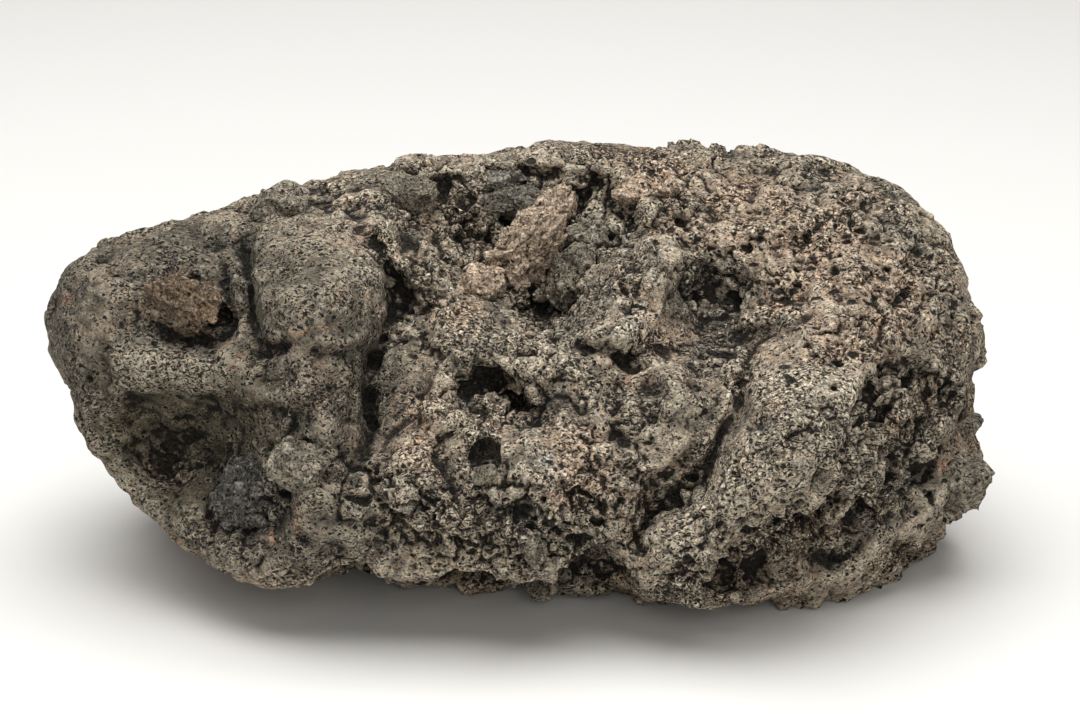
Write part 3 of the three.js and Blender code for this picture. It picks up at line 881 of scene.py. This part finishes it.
def makeStones(kind, rock):
    rockPlace = toFace(readPoints(rock.data))
    allPoints = []
    allFaces = []
    for index, (name, stone) in enumerate(caughtStones[kind].items()):
        points, faces = shapeStone(rockPlace, name, stone, 900 + 37 * index + len(kind))
        first = sum(len(part) for part in allPoints)
        allPoints.append(points)
        allFaces += [[first + corner for corner in face] for face in faces]
    joined = np.concatenate(allPoints)
    joined[:, 2] = np.maximum(joined[:, 2], 0.2)  # clear of the floor
    mesh = bpy.data.meshes.new(kind + "_stones")
    mesh.from_pydata((joined * mm).tolist(), [], allFaces)
    mesh.polygons.foreach_set("use_smooth", np.ones(len(mesh.polygons), bool))
    stones = bpy.data.objects.new(kind + "_stones", mesh)
    scene.collection.objects.link(stones)
    print(kind, "stones", len(mesh.polygons))
    return stones


# shader helpers

def setInput(tree, socket, value):
    if isinstance(value, bpy.types.NodeSocket):
        tree.links.new(value, socket)
    else:
        socket.default_value = value


def addNode(tree, kind, inputs=None, **settings):
    node = tree.nodes.new("ShaderNode" + kind)
    for name, value in settings.items():
        setattr(node, name, value)
    for name, value in (inputs or {}).items():
        setInput(tree, node.inputs[name], value)
    return node


def maths(tree, operation, first, second, third=None, clamp=False):
    inputs = {0: first, 1: second}
    if third is not None:
        inputs[2] = third
    return addNode(tree, "Math", inputs, operation=operation, use_clamp=clamp).outputs[0]


def ramped(tree, value, low, high, toLow=0.0, toHigh=1.0):
    return addNode(tree, "MapRange", {"Value": value, "From Min": low, "From Max": high, "To Min": toLow,
                                      "To Max": toHigh}, interpolation_type="SMOOTHSTEP").outputs[0]


def mixColour(tree, share, first, second, blend="MIX"):
    node = addNode(tree, "Mix", data_type="RGBA", blend_type=blend)
    setInput(tree, node.inputs[0], share)
    setInput(tree, node.inputs[6], first)  # 6 and 7 are the node's two colours
    setInput(tree, node.inputs[7], second)
    return node.outputs[2]


def vectorMaths(tree, operation, first, second):
    other = "Scale" if operation == "SCALE" else 1
    return addNode(tree, "VectorMath", {0: first, other: second}, operation=operation).outputs[0]


def noiseOf(tree, vector, detail, roughness=0.5, scale=1.0):
    return addNode(tree, "TexNoise", {"Vector": vector, "Scale": scale, "Detail": detail,
                                      "Roughness": roughness})


def channels(tree, colour):
    return addNode(tree, "SeparateColor", {0: colour}).outputs


def zone(tree, name):  # a mask kept on the mesh
    return addNode(tree, "Attribute", attribute_name=name).outputs["Fac"]


def startGroup(name, inputs, outputs):
    group = bpy.data.node_groups.new(name, "ShaderNodeTree")
    for label, kind, value in inputs:
        socket = group.interface.new_socket(name=label, in_out="INPUT", socket_type="NodeSocket" + kind)
        if value is not None:
            socket.default_value = value
    for label, kind in outputs:
        group.interface.new_socket(name=label, in_out="OUTPUT", socket_type="NodeSocket" + kind)
    given = group.nodes.new("NodeGroupInput").outputs
    result = group.nodes.new("NodeGroupOutput").inputs
    return group, given, result


def placeGroup(tree, group, place, values=None):  # the group's outputs, for these values in place of its own
    node = tree.nodes.new("ShaderNodeGroup")
    node.node_tree = group
    setInput(tree, node.inputs["Place"], place)
    for name, value in (values or {}).items():
        setInput(tree, node.inputs[name], value)
    return node.outputs


def summed(tree, parts, total=0.0):  # the parts added up, each with its own share
    for value, share in parts:
        total = maths(tree, "MULTIPLY_ADD", value, share, total)
    return total


def makeVesicleGroup():  # gas bubbles cut open by the surface, in one range of sizes
    group, given, result = startGroup(
        "gas vesicles", [("Place", "Vector", None), ("Size", "Float", 1.4), ("Share", "Float", 0.6)],
        [("Hole", "Float"), ("Rim", "Float"), ("Depth", "Float")])
    place = vectorMaths(group, "DIVIDE", given["Place"], given["Size"])
    cells = addNode(group, "TexVoronoi", {"Vector": place, "Scale": 1.0}, feature="F1")
    pick = channels(group, cells.outputs["Color"])
    radius = maths(group, "MULTIPLY_ADD", pick[0], 0.3, 0.14)
    isOpen = maths(group, "LESS_THAN", pick[1], given["Share"])
    away = maths(group, "DIVIDE", cells.outputs["Distance"], radius)
    paintedShade = maths(group, "MULTIPLY", ramped(group, away, 1.12, 0.7), isOpen)
    rim = maths(group, "MULTIPLY", ramped(group, away, 1.8, 1.1), isOpen)
    rimOnly = maths(group, "MULTIPLY", rim, maths(group, "SUBTRACT", 1.0, paintedShade))
    depth = maths(group, "MULTIPLY", ramped(group, away, 1.2, 0.2), isOpen)
    group.links.new(paintedShade, result["Hole"])
    group.links.new(rimOnly, result["Rim"])
    group.links.new(depth, result["Depth"])
    return group


def makeSpongeGroup():  # irregular gaps between the glassy threads of the crust
    group, given, result = startGroup(
        "sponge gaps", [("Place", "Vector", None), ("Size", "Float", 1.3), ("Openness", "Float", 0.44)],
        [("Gap", "Float"), ("Thread", "Float"), ("Grain", "Float"), ("Depth", "Float")])
    noise = noiseOf(group, vectorMaths(group, "DIVIDE", given["Place"], given["Size"]), 2.5, 0.62)
    below = maths(group, "SUBTRACT", given["Openness"], noise.outputs["Fac"])
    specks = channels(group, noise.outputs["Color"])
    edge = maths(group, "MULTIPLY", ramped(group, below, -0.12, -0.045), ramped(group, below, -0.015, -0.04))
    group.links.new(ramped(group, below, -0.012, 0.022), result["Gap"])
    group.links.new(edge, result["Thread"])
    group.links.new(ramped(group, specks[1], 0.45, 0.68), result["Grain"])
    group.links.new(ramped(group, below, -0.1, 0.1), result["Depth"])
    return group


def makeGrainGroup():  # the rough grain of the crust: its shade from pit to crest, its tint, and its depth
    group, given, result = startGroup(
        "crust grain", [("Place", "Vector", None), ("Size", "Float", 0.95)],
        [("Shade", "Float"), ("Tint", "Float"), ("Depth", "Float")])
    noise = noiseOf(group, vectorMaths(group, "DIVIDE", given["Place"], given["Size"]), 2.0, 0.7)
    tints = channels(group, noise.outputs["Color"])
    centred = maths(group, "SUBTRACT", noise.outputs["Fac"], 0.5)
    group.links.new(maths(group, "MULTIPLY_ADD", centred, 3.0, 0.5, clamp=True), result["Shade"])
    group.links.new(ramped(group, tints[1], 0.4, 0.6), result["Tint"])
    group.links.new(maths(group, "MULTIPLY", centred, -2.0), result["Depth"])
    return group


def makeStreakGroup():  # fine streaks left by the flow
    group, given, result = startGroup(
        "flow streaks", [("Place", "Vector", None), ("Stretch", "Vector", (0.22, 1.0, 1.0))],
        [("Streak", "Float")])
    drawn = vectorMaths(group, "MULTIPLY", given["Place"], given["Stretch"])
    noise = noiseOf(group, drawn, 2.0, 0.6, 0.95)
    group.links.new(ramped(group, noise.outputs["Fac"], 0.32, 0.68), result["Streak"])
    return group


def makeMottleGroup():  # minerals and ash: broad patches, stains and small flecks
    group, given, result = startGroup(
        "mineral mottling",
        [("Place", "Vector", None), ("Patch Size", "Float", 14.0), ("Fleck Size", "Float", 1.7)],
        [("Patches", "Float"), ("Stains", "Float"), ("Dust", "Float"), ("Flecks", "Float")])
    broad = noiseOf(group, vectorMaths(group, "DIVIDE", given["Place"], given["Patch Size"]), 3.5, 0.6)
    small = noiseOf(group, vectorMaths(group, "DIVIDE", given["Place"], given["Fleck Size"]), 2.0, 0.65)
    shades = channels(group, broad.outputs["Color"])
    group.links.new(ramped(group, shades[0], 0.42, 0.62), result["Patches"])
    group.links.new(ramped(group, shades[1], 0.4, 0.6), result["Stains"])
    group.links.new(ramped(group, shades[2], 0.5, 0.64), result["Dust"])
    group.links.new(ramped(group, small.outputs["Fac"], 0.36, 0.64), result["Flecks"])
    return group


# the darkest colour here is painted shade, laid into the pores, gaps and sunken places
crustColours = {
    "grey": (0.420, 0.350, 0.262, 1), "dusky": (0.158, 0.138, 0.102, 1), "dark": (0.074, 0.068, 0.056, 1),
    "olive": (0.110, 0.093, 0.050, 1), "brown": (0.205, 0.136, 0.080, 1), "tan": (0.720, 0.505, 0.355, 1),
    "pale": (0.700, 0.615, 0.480, 1), "pink": (0.450, 0.235, 0.150, 1), "white": (0.700, 0.670, 0.610, 1),
    "paintedShade": (0.008, 0.0065, 0.005, 1), "charcoal": (0.045, 0.045, 0.045, 1),
}


bendSettings = {"noiseScale": 0.55, "reach": 2.6}  # per mm and mm, so that no pore has a clean edge


def startMaterial(name):  # the material, its tree, and the noise-bent place of each point in mm
    material = bpy.data.materials.new(name)
    material.use_nodes = True
    tree = material.node_tree
    place = vectorMaths(tree, "SCALE", addNode(tree, "TexCoord").outputs["Object"], 1 / mm)
    wobble = noiseOf(tree, place, 2.0, scale=bendSettings["noiseScale"]).outputs["Color"]
    centred = vectorMaths(tree, "SUBTRACT", wobble, (0.5, 0.5, 0.5))
    bent = vectorMaths(tree, "ADD", place, vectorMaths(tree, "SCALE", centred, bendSettings["reach"]))
    return material, tree, bent


# puts the finished colour and the relief of the pores into the shader
def finishShader(material, base, depth, reliefHeight, flecks, roughness):
    tree = material.node_tree
    shader = tree.nodes["Principled BSDF"]
    tree.links.new(base, shader.inputs["Base Color"])
    bump = addNode(tree, "Bump", {"Strength": 1.0, "Distance": reliefHeight * mm, "Height": depth})
    tree.links.new(bump.outputs[0], shader.inputs["Normal"])
    tree.links.new(ramped(tree, flecks, 0.0, 1.0, *roughness), shader.inputs["Roughness"])
    shader.inputs["Specular IOR Level"].default_value = 0.25


crustSettings = {
    "squash": (0.7, 1.0, 1.25),  # how the pores are drawn out
    "spongeSize": 0.72, "finePores": 0.95, "middlePores": 1.6, "coarsePores": 3.4,  # mm
    "openness": 0.342,  # a little more of the crust is gaps for each 0.01
    "duskyCalm": 0.45,  # how much plainer the dusky crust is
    # zones: how much of their colour they take, and the least of it where there is no stain
    "zones": {"tan": (0.9, 0.4), "olive": (0.85, 0.9), "brown": (1.0, 0.55), "dark": (0.85, 0.55),
              "pale": (0.65, 0.3)},
    "patches": 0.72, "dust": 0.38, "threads": 0.3, "rims": 0.45, "proudEdges": 0.5,
    "flecks": 0.18, "streaks": 0.28, "grain": 0.16, "pink": 0.8, "white": 0.6,
    # the next two are shares of painted shade: in sunken places, and in the pores and gaps, whose bump casts
    # no shade of its own
    "sunkenShade": 0.92, "holes": 0.94,
    "coolTint": (0.93, 0.98, 1.02, 1), "warmTint": (1.09, 1.0, 0.9, 1),
    "reliefHeight": 1.0, "roughness": (0.82, 0.97),
}


def makeCrust(groups):
    colours, settings = crustColours, crustSettings
    material, tree, bent = startMaterial("ash grey crust")

    def times(first, second):
        return maths(tree, "MULTIPLY", first, second)

    flattened = vectorMaths(tree, "MULTIPLY", bent, settings["squash"])
    mottle = placeGroup(tree, groups["mottle"], bent)
    streaks = placeGroup(tree, groups["streaks"], bent)
    grain = placeGroup(tree, groups["grain"], bent)
    gaps = [(mottle["Flecks"], 0.06), (mottle["Stains"], 0.085), (zone(tree, "smooth"), -0.02),
            (zone(tree, "rough"), 0.02)]
    openness = summed(tree, gaps, settings["openness"])
    sponge = placeGroup(tree, groups["sponge"], flattened,
                        {"Size": settings["spongeSize"], "Openness": openness})
    poreShares = {"finePores": 0.62, "middlePores": summed(tree, [(mottle["Stains"], 0.5)], 0.38),
                  "coarsePores": summed(tree, [(zone(tree, "pores"), 0.75)], 0.06)}
    fine, middle, coarse = [
        placeGroup(tree, groups["vesicles"], flattened, {"Size": settings[name], "Share": share})
        for name, share in poreShares.items()]
    dusky = zone(tree, "dusky")
    lively = summed(tree, [(dusky, -settings["duskyCalm"])], 1.0)
    base = mixColour(tree, dusky, colours["grey"], colours["dusky"])

    def cover(mask, share, colour):  # lays a colour over the crust so far
        nonlocal base
        base = mixColour(tree, times(mask, share), base, colours[colour])

    cover(mottle["Patches"], times(lively, settings["patches"]), "dark")
    cover(mottle["Dust"], times(lively, settings["dust"]), "tan")
    for name, (share, least) in settings["zones"].items():
        stain = summed(tree, [(mottle["Stains"], 1 - least)], least)
        cover(times(zone(tree, name), share), stain, name)
    cover(mottle["Flecks"], settings["flecks"], "charcoal")
    cover(streaks["Streak"], settings["streaks"], "charcoal")
    cover(sponge["Grain"], settings["grain"], "charcoal")
    cover(zone(tree, "pink"), settings["pink"], "pink")
    cover(zone(tree, "white"), settings["white"], "white")
    cover(sponge["Thread"], times(lively, settings["threads"]), "pale")
    cover(middle["Rim"], times(lively, settings["rims"]), "pale")
    cover(ramped(tree, zone(tree, "proud"), 0.1, 0.8), times(lively, settings["proudEdges"]), "pale")
    # painted shade: the sunken places of the relief darkened towards near black
    cover(ramped(tree, zone(tree, "sunkenShade"), 0.05, 0.74), settings["sunkenShade"], "paintedShade")
    tint = mixColour(tree, grain["Tint"], settings["coolTint"], settings["warmTint"])
    base = mixColour(tree, 1.0, base, tint, "MULTIPLY")
    spread = times(summed(tree, [(mottle["Stains"], 0.8)], 0.85), lively)
    shade = summed(tree, [(maths(tree, "SUBTRACT", grain["Shade"], 0.5), spread)], 1.02)
    base = vectorMaths(tree, "SCALE", base, shade)
    # painted shade: the pores and sponge gaps darkened towards near black, since their bump casts no shade
    holes = sponge["Gap"]
    for pores in (fine, middle, coarse):
        holes = maths(tree, "MAXIMUM", holes, pores["Hole"])
    cover(holes, settings["holes"], "paintedShade")
    depth = summed(tree, [
        (sponge["Depth"], -0.85), (fine["Depth"], -0.45), (middle["Depth"], -0.8), (coarse["Depth"], -1.3),
        (mottle["Flecks"], -0.3), (streaks["Streak"], -0.4), (grain["Depth"], -0.3)])
    finishShader(material, base, depth, settings["reliefHeight"], mottle["Flecks"], settings["roughness"])
    return material


# finishes of the caught stones: how open they are, how streaked, two body colours and that of their dust
stoneFinishes = {
    "brown": {"name": "brown clinker", "openness": 0.37, "streaks": 0.6, "body": (0.235, 0.158, 0.098, 1),
              "second": (0.120, 0.088, 0.060, 1), "dust": (0.430, 0.330, 0.240, 1)},
    "tawny": {"name": "tawny clinker", "openness": 0.37, "streaks": 0.6, "body": (0.600, 0.450, 0.325, 1),
              "second": (0.320, 0.240, 0.168, 1), "dust": (0.560, 0.460, 0.350, 1)},
    "slate": {"name": "slate clinker", "openness": 0.40, "streaks": 0.3, "body": (0.250, 0.218, 0.165, 1),
              "second": (0.120, 0.108, 0.086, 1), "dust": (0.400, 0.375, 0.320, 1)},
    "charcoal": {"name": "charcoal clinker", "openness": 0.40, "streaks": 0.3,
                 "body": (0.098, 0.089, 0.072, 1), "second": (0.046, 0.043, 0.037, 1),
                 "dust": (0.300, 0.280, 0.235, 1)},
    "ashen": {"name": "ashen clinker", "openness": 0.40, "streaks": 0.4, "body": (0.300, 0.252, 0.184, 1),
              "second": (0.120, 0.104, 0.080, 1), "dust": (0.480, 0.430, 0.340, 1)},
}


# what the finishes of the caught stones share: sizes in mm, and how much each thing covers
stoneSettings = {
    "patchSize": 5.0, "fleckSize": 1.8, "stretch": (0.5, 1.4, 1.4), "grainSize": 1.0, "spongeSize": 0.9,
    "poreSize": 1.8, "poreShare": 0.22,
    # the last two on the next line are shares of painted shade: in sunken places, and in the pores and gaps
    "grain": 0.45, "threads": 0.5, "proudEdges": 0.45, "sunkenShade": 0.75, "holes": 0.92,
    "reliefHeight": 0.9, "roughness": (0.8, 0.96),
}


def makeStoneFinish(kind, groups):
    finish, settings = stoneFinishes[kind], stoneSettings
    material, tree, bent = startMaterial(finish["name"])
    mottle = placeGroup(tree, groups["mottle"], bent,
                        {"Patch Size": settings["patchSize"], "Fleck Size": settings["fleckSize"]})
    streaks = placeGroup(tree, groups["streaks"], bent, {"Stretch": settings["stretch"]})
    grain = placeGroup(tree, groups["grain"], bent, {"Size": settings["grainSize"]})
    sponge = placeGroup(tree, groups["sponge"], bent,
                        {"Size": settings["spongeSize"], "Openness": finish["openness"]})
    pores = placeGroup(tree, groups["vesicles"], bent,
                       {"Size": settings["poreSize"], "Share": settings["poreShare"]})
    base = mixColour(tree, mottle["Patches"], finish["body"], finish["second"])

    def cover(mask, share, colour):  # lays a colour over the stone so far
        nonlocal base
        base = mixColour(tree, maths(tree, "MULTIPLY", mask, share), base, colour)

    cover(streaks["Streak"], finish["streaks"], finish["second"])
    cover(sponge["Grain"], settings["grain"], finish["second"])
    cover(sponge["Thread"], settings["threads"], finish["dust"])
    cover(ramped(tree, zone(tree, "proud"), 0.15, 0.8), settings["proudEdges"], finish["dust"])
    # painted shade in the sunken places
    cover(ramped(tree, zone(tree, "sunkenShade"), 0.1, 0.8), settings["sunkenShade"], crustColours["paintedShade"])
    base = vectorMaths(tree, "SCALE", base, summed(tree, [(grain["Shade"], 1.6)], 0.25))
    # painted shade in the pores and sponge gaps
    cover(maths(tree, "MAXIMUM", sponge["Gap"], pores["Hole"]), settings["holes"], crustColours["paintedShade"])
    depth = summed(tree, [(sponge["Depth"], -0.7), (pores["Depth"], -0.7), (streaks["Streak"], -0.7)])
    finishShader(material, base, depth, settings["reliefHeight"], mottle["Flecks"], settings["roughness"])
    return material


rockSettings = {
    "coarseVoxel": 1.8, "middleVoxel": 1.25, "smallVoxel": 1.125, "fineVoxel": 0.75,  # mm
    "smoothRounds": 14,  # rounds of averaging that take the solid's facets off
    "mostFaces": 262000, "frontWeight": 0.002,  # aims of the thinning
    # rounds of averaging that the relief is measured against, and each one's share of the paler colour on
    # proud places and of the painted shade in sunken ones
    "nearRounds": 6, "broadRounds": 60, "deepRounds": 220, "broadNormals": 12, "deepNormals": 20,
    "nearShare": 1.5, "broadShare": 0.28, "deepShare": 0.11,
    "farRelief": 0.45,  # share of that paler colour and painted shade that the far side keeps
}


def restOnFloor(points):  # nothing below the floor, and the resting face stays flat
    points[:, 2] = np.maximum(points[:, 2], 0)
    return points


def setShape(rock, points, voxel=None):
    writePoints(rock.data, restOnFloor(points))
    if voxel:
        reskin(rock, voxel)


def shapeBroad(rock):  # rounds the solid's facets off and adds the large lumps and hollows
    reskin(rock, rockSettings["coarseVoxel"])
    points = readPoints(rock.data)
    smooth = makeAverager(rock.data)(points, rockSettings["smoothRounds"])
    smooth[:, 2] = np.where(points[:, 2] < 1.0, points[:, 2], smooth[:, 2])
    setShape(rock, pressPlates(smooth, broadPlates, 2.2), rockSettings["middleVoxel"])
    print("broad shapes", len(rock.data.vertices))


def shapeSmall(rock):  # broken blocks, swellings, arches at the foot, plates, clefts and knobs
    average = makeAverager(rock.data)
    points = average(readPoints(rock.data), 1)
    normals = average(readNormals(rock.data), 6)
    points = addBlocks(points, normals, findZones(points))
    points = swell(points, softShapes)
    points = hollowUnder(points, underHollows)
    points = pressPlates(points, smallPlates, 1.4)
    points = cutClefts(points, frontClefts, 1.3)
    points = raiseKnobs(points, frontKnobs)
    setShape(rock, points, rockSettings["smallVoxel"])
    print("small shapes", len(rock.data.vertices))


def shapeCaves(rock):
    setShape(rock, openCaves(readPoints(rock.data), frontCaves, 1.8), rockSettings["fineVoxel"])
    print("caves", len(rock.data.vertices))


def shapeGrain(rock):
    points = readPoints(rock.data)
    normals = makeAverager(rock.data)(readNormals(rock.data), 2)
    normals /= np.maximum(np.linalg.norm(normals, axis=1), 1e-6)[:, None]
    points = restOnFloor(addGrain(points, normals, findZones(points)))
    setShape(rock, points)
    coarser = rock.vertex_groups.new(name="coarser back")
    front = np.round(ramp(-6, 6, rimDistance(toFace(points))), 1)
    for level in range(11):
        picked = np.flatnonzero(np.abs(front - level / 10) < 0.04)
        coarser.add(picked.tolist(), 1 - 0.05 * level, "REPLACE")


def thinFaces(rock):  # most of the faces that go are the far side's
    faces = sum(len(face.vertices) - 2 for face in rock.data.polygons)
    thin = rock.modifiers.new("fewer faces", "DECIMATE")
    thin.vertex_group = "coarser back"
    thin.vertex_group_factor = rockSettings["frontWeight"]
    thin.ratio = min(1.0, rockSettings["mostFaces"] / faces)
    applyModifiers(rock)
    rock.vertex_groups.clear()
    setShape(rock, readPoints(rock.data))
    print("grain", faces, "to", len(rock.data.polygons))


def makeRock():
    rock = bpy.data.objects.new("crusted_lava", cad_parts["lava_rock"].data.copy())
    scene.collection.objects.link(rock)
    for step in (shapeBroad, shapeSmall, shapeCaves, shapeGrain, thinFaces):
        step(rock)
    for name, mask in findZones(readPoints(rock.data)).items():
        keepAttribute(rock.data, name, mask)
    return rock


def noteRelief(thing):  # how far each place stands proud of its surroundings or lies sunken in them; the finishes paint shade into the sunken places
    settings = rockSettings
    points = readPoints(thing.data)
    average = makeAverager(thing.data)
    normals = readNormals(thing.data)
    near = ((points - average(points, settings["nearRounds"])) * normals).sum(1)
    broadNormals = average(normals, settings["broadNormals"])
    deepNormals = average(normals, settings["deepNormals"])
    broad = ((points - average(points, settings["broadRounds"])) * broadNormals).sum(1)
    deep = ((points - average(points, settings["deepRounds"])) * deepNormals).sum(1)
    height = near * settings["nearShare"] + broad * settings["broadShare"] + deep * settings["deepShare"]
    front = ramp(-6, 6, rimDistance(toFace(points)))
    height *= settings["farRelief"] + (1 - settings["farRelief"]) * front
    keepAttribute(thing.data, "proud", np.clip(height, 0, 1))
    keepAttribute(thing.data, "sunkenShade", np.clip(-height, 0, 1))


def finishPiece(piece, material):
    piece.data.materials.clear()
    piece.data.materials.append(material)
    piece.data.polygons.foreach_set("use_smooth", np.ones(len(piece.data.polygons), bool))
    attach(piece, "root")
    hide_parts("lava_rock")


groups = {"vesicles": makeVesicleGroup(), "sponge": makeSpongeGroup(), "streaks": makeStreakGroup(),
          "mottle": makeMottleGroup(), "grain": makeGrainGroup()}
rock = makeRock()
noteRelief(rock)
finishPiece(rock, makeCrust(groups))
for kind in caughtStones:
    stones = makeStones(kind, rock)
    noteRelief(stones)
    finishPiece(stones, makeStoneFinish(kind, groups))
print("relief noted and finishes placed")
